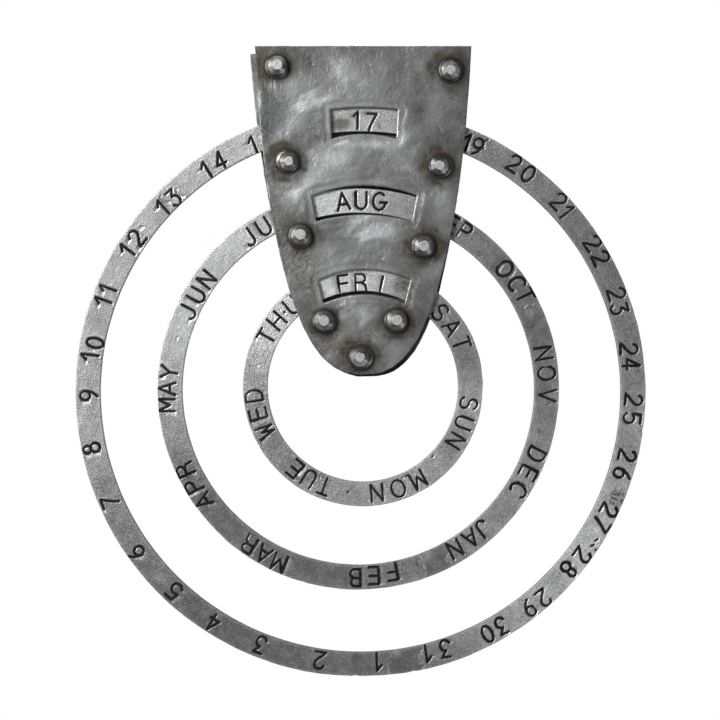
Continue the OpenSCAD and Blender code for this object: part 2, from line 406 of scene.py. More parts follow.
def plateWalls(loops, faceCount, rimCount):  # from the front's outlines to the middle row and to the back's
    walls, start = [], 0
    for k, loop in enumerate(loops):
        i = start + np.arange(len(loop))
        j = start + (np.arange(len(loop)) + 1) % len(loop)
        for near, far in ((0, faceCount), (faceCount, faceCount + rimCount)):
            quad = np.stack([i + near, i + far, j + far, j + near], 1)
            walls.append(quad if k == 0 else quad[:, ::-1])
        start += len(loop)
    return np.vstack(walls)


def plateMarks(points, rim, cuts, holes, look):  # where the plate is stained, worn or wiped, and a painted shadow below and right of each rivet
    flat = points[:, [0, 2]]
    x, z = flat.T
    stain, seam = np.zeros(len(x)), np.zeros(len(x))
    ragged = (2.6 * lumps(x, z, 6 * mm, 31) + 1.3 * lumps(x, z, 2.4 * mm, 32)) * mm
    for (mx, mz), _, _ in holes:
        away = np.hypot(x - mx, z - mz)
        stain = np.maximum(stain, np.exp(-(np.maximum(away + ragged - 6.5 * mm, 0) / (3.8 * mm)) ** 2))
        away = np.hypot(x - mx - 0.45 * mm, z - mz + 0.35 * mm)  # painted shadow: the dark line lies below and to the right
        seam = np.maximum(seam, np.exp(-(np.maximum(away - 6.2 * mm, 0) / (0.9 * mm)) ** 2))
    marks = {paint: spotSum(x, z, look[paint]) for paint in ("pale", "blue", "rust", "dark", "brush")}
    marks["halo"] = np.clip(stain + spotSum(x, z, look["smudges"]), 0, 1)
    marks["seam"] = seam
    marks["rim"] = np.exp(-reachTo(flat, rim) / (1.2 * mm))
    marks["cut"] = np.exp(-reachToAny(flat, cuts) / (1.5 * mm))
    return marks


def upright(flat, y):
    return np.stack([flat[:, 0], np.broadcast_to(y, len(flat)), flat[:, 1]], 1)


def beatenPlate(name, look):
    low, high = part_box(name)
    rim, cuts, holes = plateOutlines(name, look)
    loops = [rim] + cuts + [roundCut(middle, radius) for middle, radius, _ in holes]
    loopsBack = [rim] + cuts + [roundCut(middle, radius) for middle, _, radius in holes]
    flat, faces, rimCount = sheetFace(loops, look["step"] * mm, [inset * mm for inset in look["insets"]])
    flatBack, facesBack, _ = sheetFace(loopsBack, look["backStep"] * mm, [0.6 * mm])
    y = low.y + beatenDrop(flat, rim, cuts, holes, look)

    ragged = look["ragged"] * mm * (1 + lumps(rim[:, 0], rim[:, 1], 3 * mm, 21)) / 2
    flat[:len(rim)] += leftNormals(rim) * ragged[:, None]
    flatBack[:len(rim)] = flat[:len(rim)]
    middle = upright(flat[:rimCount], (low.y + high.y) / 2)
    points = np.vstack([upright(flat, y), middle, upright(flatBack, high.y)])
    walls = plateWalls(loops, len(flat), rimCount)
    allFaces = list(faces) + list(facesBack[:, ::-1] + len(flat) + rimCount) + list(walls)
    piece = addPiece(name + "_beaten", points, allFaces, plateMarks(points, rim, cuts, holes, look), 40)
    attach(piece, "frame")
    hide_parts(name)
    return piece


# Stamped characters: each is a few strokes in a box one unit high, x from its middle, z up from its foot

strokes = {
    "0": [[("arc", 0, 0.5, 0.28, 0.5, 0, 360)]],
    "1": [[(0.12, 0), (0.12, 1), (-0.04, 0.84), (-0.15, 0.7)]],
    "2": [[("arc", -0.01, 0.72, 0.28, 0.28, 168, -30), (0.07, 0.4), (-0.18, 0.17), (-0.31, 0), (0.31, 0)]],
    "3": [[(-0.24, 1), (0.26, 1), (-0.03, 0.62), ("arc", 0, 0.31, 0.28, 0.31, 95, -155)]],
    "4": [[(0.12, 0), (0.12, 1), (-0.28, 0.27), (0.3, 0.27)]],
    "5": [[(0.26, 1), (-0.22, 1), (-0.25, 0.54), ("arc", 0.01, 0.31, 0.3, 0.31, 128, -155)]],
    "6": [[("arc", 0, 0.29, 0.27, 0.29, 0, 360)], [(-0.27, 0.32), (-0.22, 0.55), (-0.08, 0.8), (0.14, 1)]],
    "7": [[(-0.3, 1), (0.28, 1), (0.08, 0.6), (-0.06, 0.28), (-0.14, 0)]],
    "8": [[("arc", 0, 0.76, 0.21, 0.24, 0, 360)], [("arc", 0, 0.27, 0.27, 0.27, 0, 360)]],
    "9": [[("arc", 0, 0.71, 0.27, 0.29, 0, 360)], [(0.27, 0.68), (0.22, 0.45), (0.08, 0.2), (-0.14, 0)]],
    "A": [[(-0.36, 0), (0, 1), (0.36, 0)], [(-0.24, 0.32), (0.24, 0.32)]],
    "B": [[(-0.29, 0), (-0.29, 1), (0.04, 1), ("arc", 0.04, 0.76, 0.21, 0.24, 90, -90), (-0.29, 0.52)],
        [(-0.29, 0.52), (0.06, 0.52), ("arc", 0.06, 0.26, 0.24, 0.26, 90, -90), (-0.29, 0)]],
    "C": [[("arc", 0.02, 0.5, 0.37, 0.5, 50, 310)]],
    "D": [[(-0.3, 0), (-0.3, 1), (0, 1), ("arc", 0, 0.5, 0.34, 0.5, 90, -90), (-0.3, 0)]],
    "E": [[(0.3, 1), (-0.28, 1), (-0.28, 0), (0.3, 0)], [(-0.28, 0.52), (0.26, 0.52)]],
    "F": [[(0.3, 1), (-0.28, 1), (-0.28, 0)], [(-0.28, 0.52), (0.24, 0.52)]],
    "G": [[("arc", 0, 0.5, 0.37, 0.5, 50, 350)], [(0.05, 0.44), (0.46, 0.44)]],
    "H": [[(-0.32, 0), (-0.32, 1)], [(0.32, 0), (0.32, 1)], [(-0.32, 0.52), (0.32, 0.52)]],
    "I": [[(0, 0), (0, 1)]],
    "J": [[(0.22, 1), (0.22, 0.28), ("arc", -0.05, 0.28, 0.27, 0.28, 0, -165)]],
    "L": [[(-0.24, 1), (-0.24, 0), (0.26, 0)]],
    "M": [[(-0.35, 0), (-0.35, 1), (0, 0.28), (0.35, 1), (0.35, 0)]],
    "N": [[(-0.33, 0), (-0.33, 1), (0.33, 0), (0.33, 1)]],
    "O": [[("arc", 0, 0.5, 0.39, 0.5, 0, 360)]],
    "P": [[(-0.29, 0), (-0.29, 1), (0.06, 1), ("arc", 0.06, 0.74, 0.25, 0.26, 90, -90), (-0.29, 0.48)]],
    "R": [[(-0.29, 0), (-0.29, 1), (0.04, 1), ("arc", 0.04, 0.75, 0.25, 0.25, 90, -90), (-0.29, 0.5)],
        [(0.04, 0.5), (0.3, 0.34), (0.33, 0)]],
    "S": [[("arc", 0, 0.75, 0.28, 0.25, 25, 270), ("arc", 0, 0.25, 0.31, 0.25, 90, -160)]],
    "T": [[(-0.3, 1), (0.3, 1)], [(0, 1), (0, 0)]],
    "U": [[(-0.31, 1), (-0.31, 0.31), ("arc", 0, 0.31, 0.31, 0.31, 180, 360), (0.31, 1)]],
    "V": [[(-0.35, 1), (0, 0), (0.35, 1)]],
    "W": [[(-0.33, 1), (-0.17, 0), (0, 0.72), (0.17, 0), (0.33, 1)]],
    "Y": [[(-0.35, 1), (0, 0.46), (0.35, 1)], [(0, 0.46), (0, 0)]],
    "-": [[(0, 0.42), (0, 0.58)]],
    ".": [[(0, 0.49), (0, 0.51)]],
    "(": [[("arc", 0.1, 0.5, 0.25, 0.35, 120, 240)]],
}
punch = {"tall": 8.55, "halfWide": 0.85, "deep": 0.72, "burr": 0.045}  # mm, 3/8 inch letter punches

# Where each word was struck: middle in degrees clockwise from the top, mm above the ring's mid line,
# degrees from its first to its last character, how much the last one sits higher, and its tilt
dateWords = {
    "1": (176.1, -1.1, 0, 0, -2), "2": (188.7, -0.6, 0, 0, -3), "3": (201.6, -0.5, 0, 0, -3),
    "4": (212.5, 0.7, 0, 0, 0), "5": (223, -0.1, 0, 0, -1), "6": (234.3, 1.7, 0, 0, 5),
    "7": (246.3, 0.2, 0, 0, -4), "8": (258.1, 1, 0, 0, 2), "9": (269.3, -0.5, 0, 0, 6),
    "10": (278.9, -0.8, 3.1, -1.6, 1), "11": (290.6, -0.1, 2.7, 0, 1), "12": (302.8, -0.3, 3.5, -0.5, -4),
    "13": (314.4, -1.6, 3.3, -0.5, -4), "14": (326.9, -1.2, 3.7, 0.2, -4), "15": (338.2, -1.4, 3.7, 0.6, -4),
    "16": (350.4, -0.4, 2.8, -0.3, 1), "17": (0.7, -1, 3.4, -0.8, -1), "18": (13.1, -0.1, 2.8, 0.2, 0),
    "19": (24.2, -0.6, 2.6, 0.1, 2), "20": (35.8, 1.4, 3.6, -0.3, 1), "21": (47.4, 0.9, 2.5, -0.9, -2),
    "22": (59.2, 1.6, 3.5, -0.5, -1), "23": (70.6, 0.2, 3, -1.2, -4), "24": (82.5, -0.4, 3.1, 0.1, -6),
    "25": (93.6, 0.2, 3.8, -0.3, -2), "26": (105.4, 0.8, 4, -0.1, 0), "27": (117.1, 1.2, 3.4, -0.4, -5),
    "28": (128.4, 1, 4.1, -1.1, 0), "29": (140.2, 1.1, 3.6, -0.8, -4), "30": (150.6, 0.2, 3.4, 0.1, -2),
    "31": (163.6, -1.3, 3.8, -0.2, -8),
}
monthWords = {
    "JAN": (143.6, -0.7, 10.5, -0.2, -3), "FEB": (175.2, -0.6, 11.3, 1.5, -1),
    "MAR": (209.8, 1, 10.5, -0.5, 0), "APR": (239.4, 1.3, 10.9, 0, -2),
    "MAY": (270.1, 1.4, 9.9, -1.5, -3), "JUN": (300.1, -0.8, 11.5, -0.3, -1),
    "JUL": (329.8, -0.5, 11.1, 0.5, 1), "AUG": (0.9, 0, 11.1, 0.3, 2),
    "SEP": (29.3, 0.6, 9.4, 0.4, -1), "OCT": (55.7, 1, 10.2, 1, -4),
    "NOV": (85.5, 0.3, 12.8, 0.3, 0), "DEC": (116.2, 0.5, 12.1, -0.2, -5),
}
weekdayWords = {
    "MON": (160.9, 0.2, 23.2, -0.8, -1), "TUE": (210.2, -0.5, 18.3, -0.1, -1),
    "WED": (255.1, 0.3, 19.5, 1, 2), "THU": (308.1, 0, 21.5, -0.3, -3),
    "FRI": (359.9, -2, 21, -0.5, -1), "SAT": (56.5, -0.2, 20.1, 0.3, -2),
    "SUN": (109.8, -0.1, 21.2, 0.2, -1),
}
heavy = {  # struck harder, so that the strokes are this much wider
    "25": 1.1, "26": 1.04, "27": 1.3, "28": 1.08, "19": 1.12, "31": 1.12, "SEP": 1.1, "OCT": 1.1,
}
closerBy = {"JAN": -1.1, "OCT": 1.3, "NOV": -0.5, "THU": -0.8, "FRI": -1.1}  # mm its middle letter is off


def strokeLine(parts):  # arcs become short straight pieces
    line = []
    for part in parts:
        if part[0] == "arc":
            _, cx, cz, rx, rz, start, end = part
            turns = np.radians(np.linspace(start, end, max(5, round(abs(end - start) / 15))))
            line += [(cx + rx * math.cos(t), cz + rz * math.sin(t)) for t in turns]
        else:
            line.append(part)
    return np.array(line)


def struckMarks(words, ghosts, middle, radius):  # every stroke of a ring's characters, in metres
    struck = []

    def strike(letter, angle, reach, tilt, push, wobble, blow=1.0):
        lean = math.radians(tilt) - angle
        side = np.array([math.cos(lean), math.sin(lean)])
        up = np.array([-side[1], side[0]])
        place = middle + reach * np.array([math.sin(angle), math.cos(angle)])
        lines = [place + punch["tall"] * mm * (p[:, :1] * side + (p[:, 1:] - 0.5) * up)
            for p in map(strokeLine, strokes[letter])]
        tip = (wobble, -0.6 * wobble)
        struck.append({"place": place, "lines": lines, "push": push, "blow": blow, "tip": tip})

    for number, (word, (turn, rise, spread, lean, tilt)) in enumerate(words.items()):
        for k, letter in enumerate(word):
            t = k / (len(word) - 1) - 0.5 if len(word) > 1 else 0
            angle = math.radians(turn + spread * t)
            reach = radius + (rise + lean * t) * mm
            if k == 1 and len(word) == 3:
                angle += closerBy.get(word, 0) * mm / radius
            wobble = math.sin(number * 7.3 + k * 2.9)
            push = 0.94 + 0.1 * math.sin(number * 3.1 + k * 5.7)
            strike(letter, angle, reach, tilt + 2.4 * wobble, push, wobble, heavy.get(word, 1.0))
    for letter, turn, rise, tilt, push in ghosts:  # double strikes and slips of the punch
        strike(letter, math.radians(turn), radius + rise * mm, tilt, push, 0)
    return struck


def struckDepth(points, struck, bold):  # groove depth under the face, and how far into a groove each is
    deep = np.zeros(len(points))
    inGroove = np.zeros(len(points))
    for mark in struck:
        wide = punch["halfWide"] * bold * mark["blow"] * mm
        near = np.flatnonzero(np.abs(points - mark["place"]).max(1) < 0.75 * punch["tall"] * mm)
        here = points[near]
        gap = np.full(len(here), 1.0)
        for line in mark["lines"]:
            for start, end in zip(line[:-1], line[1:]):
                gap = np.minimum(gap, reachToPiece(here, start, end))
        uneven = 1 + 0.14 * ((here - mark["place"]) @ np.array(mark["tip"])) / (4 * mm)
        push = mark["push"] * np.clip(uneven, 0.5, 1.35)
        groove = np.clip(1 - gap / wide, 0, 1) ** 0.7 * punch["deep"] * mm * push
        burr = punch["burr"] * mm * np.exp(-((gap - 1.2 * wide) / (0.35 * wide)) ** 2)
        deep[near] = np.where(gap < wide, np.maximum(deep[near], groove), deep[near] - burr)
        inGroove[near] = np.maximum(inGroove[near], np.clip(1.25 - gap / wide, 0, 1) * push)
    return deep, np.clip(inGroove, 0, 1)


# Rings: a polar grid over the CAD ring, so that grooves and edges are real geometry

# A blurred spot on a ring: degrees clockwise from the top, mm above the ring's mid line, half its length and
# height in mm, how strong it is, and its slant
Streak = namedtuple("Streak", "at rise long high much slant", defaults=[1, 0])


def offBy(degrees, at):  # degrees from there, from -180 to 180
    return (degrees - at + 180) % 360 - 180


def streakSum(degrees, rise, radius, rows):
    total = np.zeros(len(degrees))
    for spot in (Streak(*row) for row in rows):
        u = math.radians(1) * offBy(degrees, spot.at) * radius / (spot.long * mm)
        v = (rise - spot.rise * mm) / (spot.high * mm)
        total += np.exp(-((u + spot.slant * v) ** 2 + v * v)) * spot.much
    return total


def ringColumns(struck, middle, halfWay, fine, coarse):  # closer together where a character is struck
    spans = []
    for mark in struck:
        ways = np.vstack(mark["lines"]) - middle
        turns = np.arctan2(ways[:, 0], ways[:, 1])
        centre = math.atan2(*(mark["place"] - middle))
        off = (turns - centre + math.pi) % math.tau - math.pi
        spans.append((centre + (off.max() + off.min()) / 2, np.ptp(off) / 2 + 1.1 * mm / halfWay))
    spans = np.array(spans)
    columns, turn = [], 0.0
    while turn < math.tau:
        columns.append(turn)
        off = np.abs((spans[:, 0] - turn + math.pi) % math.tau - math.pi)
        turn += (fine if (off < spans[:, 1]).any() else coarse) * mm / halfWay
    return np.array(columns)


def ringSection(width, low, high, edge, step):  # once round the bar: radius from the bore, depth, face side
    front = [(u, low, 1) for u in np.linspace(edge, width - edge, round((width - 2 * edge) / step) + 1)]
    bend = [(edge * (1 - math.sin(t)), edge * (1 - math.cos(t))) for t in np.radians([22, 45, 67])]
    outerFront = [(width - u, low + v, 0.6) for u, v in bend]
    innerFront = [(u, low + v, 0.6) for u, v in reversed(bend)]
    sides = [low + edge + (high - low - 2 * edge) * t for t in (0, 0.5, 1)]
    outerSide = [(width, y, 0) for y in sides]
    innerSide = [(0, y, 0) for y in reversed(sides)]
    outerBack = [(width - 0.3 * edge, high - 0.3 * edge, 0)]
    innerBack = [(0.3 * edge, high - 0.3 * edge, 0)]
    back = [(width * t, high, 0) for t in (0.94, 0.66, 0.33, 0.06)]
    return np.array(front + outerFront + outerSide + outerBack + back + innerBack + innerSide + innerFront)


def wornRims(turn, bore, outer, look):  # the ring's inner and outer radius all the way round
    ux, uz = np.sin(turn), np.cos(turn)
    worn = look["worn"] * mm
    inner = bore + 0.5 * worn * (1 + lumps(ux * bore, uz * bore, 5 * mm, 2)) / 2
    rim = outer - worn * (1 + lumps(ux * outer, uz * outer, 4 * mm, 6)) / 2
    rim -= worn * (1 + lumps(ux * outer, uz * outer, 31 * mm, 8)) / 2
    return inner, rim - mm * streakSum(np.degrees(turn), 0, (bore + outer) / 2, look["nicks"])


def ringRough(x, z, degrees, rise, halfWay, look):  # the bar's unevenness, and where it was forge welded
    rough = look["wave"] * mm * (1 + lumps(x, z, 11 * mm, 12))
    rough += look["grain"] * mm * (1 + lumps(x, z, 0.9 * mm, 13) + 0.7 * lumps(x, z, 2.3 * mm, 14))
    rough += 2 * look["grain"] * mm * smoothStep(lumps(x, z, 1.3 * mm, 15), 0.62, 0.95)
    rough += mm * streakSum(degrees, rise, halfWay, look["dents"])
    rough *= 1 - 0.6 * streakSum(degrees, rise, halfWay, look["smooth"])
    scarf = np.zeros(len(x))
    for at, half in look["patches"]:  # a smoother dip with a ragged border
        ragged = (2.2 * lumps(x, z, 4.5 * mm, 16) + 0.9 * lumps(x, z, 1.3 * mm, 17)) * mm
        away = np.abs(offBy(degrees, at)) * math.radians(1) * halfWay
        scarf = np.maximum(scarf, smoothStep(half * mm - away + ragged, 0, 0.5 * mm))
    return rough * (1 - 0.6 * scarf) + look["scarfDeep"] * mm * scarf, scarf


def closedGrid(rows, count):  # quads over a grid that closes both ways, facing outwards
    grid = np.arange(rows * count).reshape(count, rows)
    right, down = np.roll(grid, -1, axis=0), np.roll(grid, -1, axis=1)
    corner = np.roll(right, -1, axis=1)
    return np.stack([grid, right, corner, down], 2).reshape(-1, 4)


def stampedRing(name, look, words):
    low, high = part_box(name)
    middle = np.array([(low.x + high.x) / 2, (low.z + high.z) / 2])
    bore = np.hypot(*(nodePoints(name)[:, [0, 2]] - middle).T).min()
    outer = (high.x - low.x) / 2
    halfWay = (bore + outer) / 2
    struck = struckMarks(words, look["ghosts"], middle, halfWay)
    fine = look["fine"]
    columns = ringColumns(struck, middle, halfWay, fine, look["coarse"])
    section = ringSection(outer - bore, low.y, high.y, look["edge"] * mm, fine * mm)

    turn = np.repeat(columns, len(section))
    across, y, face = np.tile(section, (len(columns), 1)).T
    degrees = np.degrees(turn)
    inner, rim = wornRims(turn, bore, outer, look)
    radius = inner + across / (outer - bore) * (rim - inner)
    x, z = middle[0] + radius * np.sin(turn), middle[1] + radius * np.cos(turn)
    rise = radius - halfWay
    rough, scarf = ringRough(x, z, degrees, rise, halfWay, look)
    onFace = face > 0
    deep, stamp = np.zeros(len(x)), np.zeros(len(x))
    deep[onFace], stamp[onFace] = struckDepth(np.stack([x, z], 1)[onFace], struck, look["bold"])
    y = np.minimum(y + face * (rough + deep), high.y)
    y = np.where(onFace, np.maximum(y, low.y - 0.1 * mm), y)

    # shade and lift are painted shade and painted highlight: darker and lighter stretches round each ring
    # that stand in for the brushed steel's changing reflection of the lamps; they turn with the ring
    paints = ("pale", "dark", "rust", "smooth", "shade", "lift")
    marks = {paint: np.clip(streakSum(degrees, rise, halfWay, look[paint]), 0, 1) for paint in paints}
    marks["stamp"], marks["scarf"] = stamp, scarf
    marks["side"] = (1 - face) * np.where(y > high.y - 0.01 * mm, 0.5, 1)  # black scale, half gone behind
    marks["edge"] = np.exp(-np.minimum(across, outer - bore - across) / (0.7 * mm))
    faces = closedGrid(len(section), len(columns))
    piece = addPiece(name + "_stamped", np.stack([x, y, z], 1), faces, marks, 50)
    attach(piece, name)
    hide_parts(name)
    print(name, "stamped,", 2 * len(faces), "triangles")
    return piece, middle


# Rivets: one turned and hammered form, made nine times over by a node tree

def profileStops(profile):  # the radius and the depth along the profile, as bends of two curves
    rows = sum(count for count, _, _ in profile)
    done, reachStops, depthStops = 0, [], []
    for count, reach, depth in profile:
        done += count
        reachStops.append((done / rows, reach))
        depthStops.append((done / rows, depth))
    return rows, reachStops, depthStops


def rivetTree(finish, profile):
    tree = bpy.data.node_groups.new("forgedRivet", "GeometryNodeTree")
    for label, kind in (("Place", "NodeSocketVector"), ("Radius", "NodeSocketFloat"),
            ("Height", "NodeSocketFloat"), ("Hammer", "NodeSocketFloat"), ("Seed", "NodeSocketFloat")):
        tree.interface.new_socket(label, in_out="INPUT", socket_type=kind)
    tree.interface.new_socket("Rivet", in_out="OUTPUT", socket_type="NodeSocketGeometry")
    desk = Desk(tree)
    given = tree.nodes.new("NodeGroupInput")
    place, radius, height, hammer, seed = [Wire(desk, socket) for socket in given.outputs[:5]]

    # A flat sheet of points: its width goes round the rivet, and its length runs down the profile
    rows, reachStops, depthStops = profileStops(profile)
    pointsRound = 57
    grid = desk.node("GeometryNodeMeshGrid", None,
        {"Size X": 1.0, "Size Y": 1.0, "Vertices X": pointsRound, "Vertices Y": rows + 1})
    across, along, _ = desk.split(desk.node("GeometryNodeInputPosition"))
    turn = (across + 0.5) * math.tau
    reach = desk.node("ShaderNodeFloatCurve", {"bends": reachStops}, {"Value": along + 0.5})
    depth = desk.node("ShaderNodeFloatCurve", {"bends": depthStops}, {"Value": along + 0.5})
    cosine, sine = desk.maths("COSINE", turn), desk.maths("SINE", turn)

    # Hammer marks: broad flats round the head, small dints, and a top that leans to one side
    around = desk.join(cosine * 1.1, depth * 1.6, sine * 1.1 + seed * 3.7)
    flats = desk.noise(around, 1.0, 1.0, 0.4)
    spot = desk.join(cosine * reach * 1.1, depth * 1.6, sine * reach * 1.1 + seed * 3.7)
    dints = desk.noise(spot, 0.32, 2.0, 0.6)
    headPart = desk.rise(depth, 0.36, 0.3)
    squash = 1 - hammer * headPart * (flats * 0.85 + dints * 0.12) * desk.rise(reach, 0.1, 0.45)
    lean = hammer * 0.35 * (1 - depth) * headPart
    slide = desk.maths("SINE", seed * 2.3) * lean * radius
    lift = desk.maths("COSINE", seed * 4.1) * lean * radius
    sink = hammer * 0.05 * (dints * headPart) * (1 - desk.rise(depth, 0.0, 0.3))

    wide = reach * radius * squash
    moved = desk.join(cosine * wide + slide, (depth + sink) * height, sine * wide + lift)
    centred = desk.node("ShaderNodeVectorMath", {"operation": "ADD"}, {0: moved, 1: place})
    shaped = desk.node("GeometryNodeSetPosition", None, {"Geometry": grid, "Position": centred})
    closed = desk.node("GeometryNodeMergeByDistance", None, {"Geometry": shaped, "Distance": 2e-6})
    turned = desk.node("GeometryNodeFlipFaces", None, {"Mesh": closed})
    whole = desk.node("GeometryNodeRealizeInstances", None, {"Geometry": turned})
    dressed = desk.node("GeometryNodeSetMaterial", None, {"Geometry": whole, "Material": finish})
    desk.node("NodeGroupOutput", None, {0: dressed})
    return tree


def forgedRivet(node, tree, hammer, seed):
    low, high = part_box(node)
    holder = newObject(node + "_holder", bpy.data.meshes.new(node + "_holder"))
    modifier = holder.modifiers.new("forged", "NODES")
    modifier.node_group = tree
    given = {"Place": ((low.x + high.x) / 2, low.y, (low.z + high.z) / 2), "Radius": (high.x - low.x) / 2,
        "Height": high.y - low.y, "Hammer": hammer, "Seed": float(seed)}
    for item in tree.interface.items_tree:
        if item.in_out == "INPUT":
            modifier[item.identifier] = given[item.name]
    ready = holder.evaluated_get(bpy.context.evaluated_depsgraph_get())
    mesh = bpy.data.meshes.new_from_object(ready)
    bpy.data.objects.remove(holder)
    mesh.name = node + "_forged"
    mesh.materials.pop(index=0)  # the grid's own empty slot
    mesh.shade_smooth()
    mesh.set_sharp_from_angle(angle=math.radians(30))
    piece = newObject(node + "_forged", mesh)
    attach(piece, "frame")
    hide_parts(node)
    return piece


# Finishes

def ringSteel(name, middle, look):
    material, desk = newFinish(name)
    place = desk.place()
    x, _, z = desk.split(place)
    x, z = x - float(middle[0]), z - float(middle[1])
    radius = desk.maths("SQRT", x * x + z * z)
    around = 1 / (look["grainLong"] * mm)
    lines = desk.join(x * around, z * around, radius * (1 / (look["grainWide"] * mm)))
    brushed = desk.noise(lines, 1.0, 3.0, 0.6)
    pebbles = desk.noise(place, look["pebble"] * mm, 3.0, 0.65)
    clouds = desk.noise(place, look["cloud"] * mm, 5.0, 0.62, 0.4)
    specks = desk.noise(place, 1.6 * mm, 4.0, 0.7)
    fine = desk.noise(place, 0.55 * mm, 2.0, 0.6)
    fleck = desk.rise(specks, 0.58, 0.7)
    wiped = desk.rise(desk.noise(place, 5 * mm, 3.0, 0.6), 0.42, 0.62)
    stamp, dark, pale, rust = desk.marks("stamp", "dark", "pale", "rust")
    smooth, edge, shade, lift = desk.marks("smooth", "edge", "shade", "lift")
    scarf, side = desk.marks("scarf", "side")
    # painted highlight along the ragged border of the smoother forge-welded patch
    seam = scarf * (1 - scarf) * 4
    inGroove = desk.rise(stamp, 0.32, 0.6)

    steel = desk.coats(desk.mix(desk.rise(clouds, 0.34, 0.66), look["deepTone"], look["tone"]), look,
        # painted highlight: lift brightens stretches of the ring towards the worn tone
        (lift * (0.7 + wiped * 0.3), "worn"),
        (desk.rise(fine, 0.46, 0.64) * (0.25 + wiped * 0.3) * (1 - smooth * 0.4), "worn"),
        (desk.rise(fine, 0.48, 0.36) * (0.62 - wiped * 0.25) * (1 - smooth * 0.6), "fleckTone"),
        # painted shade: shade darkens stretches of the ring
        (shade * (0.85 - wiped * 0.25), "shadeTone"),
        (scarf * 0.3, "shadeTone"),
        # painted highlight along the patch's border
        (seam * desk.rise(specks, 0.42, 0.6) * 0.5, "worn"),
        (fleck * 0.5, "fleckTone"),
        (edge * desk.rise(pebbles, 0.36, 0.56) * 0.5, "worn"),
        (pale * desk.rise(specks, 0.3, 0.55) * 0.8, "paleTone"),
        (dark * desk.rise(specks, 0.42, 0.54, 0.3, 0.95), "darkTone"),
        (rust * 0.75, "rustTone"))
    floor = desk.mix(desk.rise(specks, 0.4, 0.62), look["grooveTone"], look["grooveRust"])
    steel = desk.coats(desk.mix(inGroove, steel, floor), look, (side * 0.8, "sideTone"))

    rough = look["rough"] + (pebbles - 0.5) * 0.3 + inGroove * 0.3 + dark * 0.15 - smooth * 0.08
    plain = 1 - desk.maths("MAXIMUM", smooth, scarf) * 0.7
    height = brushed * look["brush"] * plain - fleck * 0.03
    height = height + pebbles * look["pebbleDeep"] * plain * (1.2 - wiped * 0.5)
    steelShader(desk, steel, rough + side * 0.4, height, 0.8 + inGroove * 0.12 - side * 0.3)
    return material


def plateSteel(name, look):
    material, desk = newFinish(name)
    place = desk.place()
    x, _, z = desk.split(place)
    slant = desk.join((x + z * 0.6) * 0.42, 0.0, z - x * 0.6)
    clouds = desk.noise(place, look["cloud"] * mm, 4.0, 0.5, 0.3)
    veils = desk.noise(slant, 0.45 * look["cloud"] * mm, 5.0, 0.54, 0.5)
    mottle = desk.noise(place, 5 * mm, 6.0, 0.68, 0.6)
    specks = desk.noise(place, 1.1 * mm, 4.0, 0.7)
    pebbles = desk.noise(place, 0.6 * mm, 3.0, 0.6)
    grit = desk.noise(place, 0.5 * mm, 2.0, 0.6)
    combed = desk.noise(desk.join(x * 1500, z * 90, 0.0), 1.0, 2.0, 0.5)
    streaks = desk.noise(desk.join((x + z * 0.6) * 60, 0.0, (z - x * 0.6) * 900), 1.0, 3.0, 0.6)
    lengthwise = desk.join(x * 320 + z * 420, z * 60 - x * 46, 2.0)
    scratch = desk.rise(desk.noise(lengthwise, 1.0, 1.0, 0.4), 0.75, 0.77)
    halo, rim, cut, seam = desk.marks("halo", "rim", "cut", "seam")
    pale, blue, rust, dark, brush = desk.marks("pale", "blue", "rust", "dark", "brush")

    steel = desk.coats(desk.mix(desk.rise(clouds, 0.4, 0.62), look["deepTone"], look["tone"]), look,
        (desk.rise(veils, 0.48, 0.68) * 0.6, "blueTone"),
        (desk.rise(mottle, 0.46, 0.3) * 0.4, "darkTone"),
        (dark * 0.85, "darkTone"),
        (pale * desk.rise(veils, 0.36, 0.6, 0.15, 1.0), "paleTone"),
        (blue * 0.8, "deepBlue"),
        (brush * desk.rise(combed, 0.45, 0.62), "paleTone"),
        (rust * desk.rise(specks, 0.5, 0.42) * 0.7, "darkTone"),
        (rust * desk.rise(specks, 0.5, 0.58), "rustTone"),
        (desk.rise(specks, 0.56, 0.7) * 0.5, "darkTone"),
        (desk.rise(grit, 0.46, 0.3) * 0.3, "darkTone"),
        (desk.rise(grit, 0.54, 0.72) * 0.3, "worn"),
        (halo * desk.rise(mottle, 0.66, 0.4, 0.96, 0.72), "haloTone"),
        (halo * desk.rise(specks, 0.58, 0.66) * 0.55, "fleckTone"),
        (rim * 0.4, "darkTone"),
        (rim * desk.rise(specks, 0.45, 0.6) * look["rimWear"], "worn"),
        (cut * desk.rise(specks, 0.35, 0.6) * 0.5, "worn"),
        (scratch * 0.2, "worn"),
        # painted shadow: a dark ring round each rivet head, wider below and to the right
        (seam * 0.85, "rivetShadowTone"))

    rough = look["rough"] + (veils - 0.5) * 0.2 + halo * 0.12 + (specks - 0.5) * 0.25
    height = pebbles * look["pebbleDeep"] + streaks * look["streakDeep"] + mottle * 0.25 + clouds * 0.4
    steelShader(desk, steel, rough, height, 0.85)
    return material


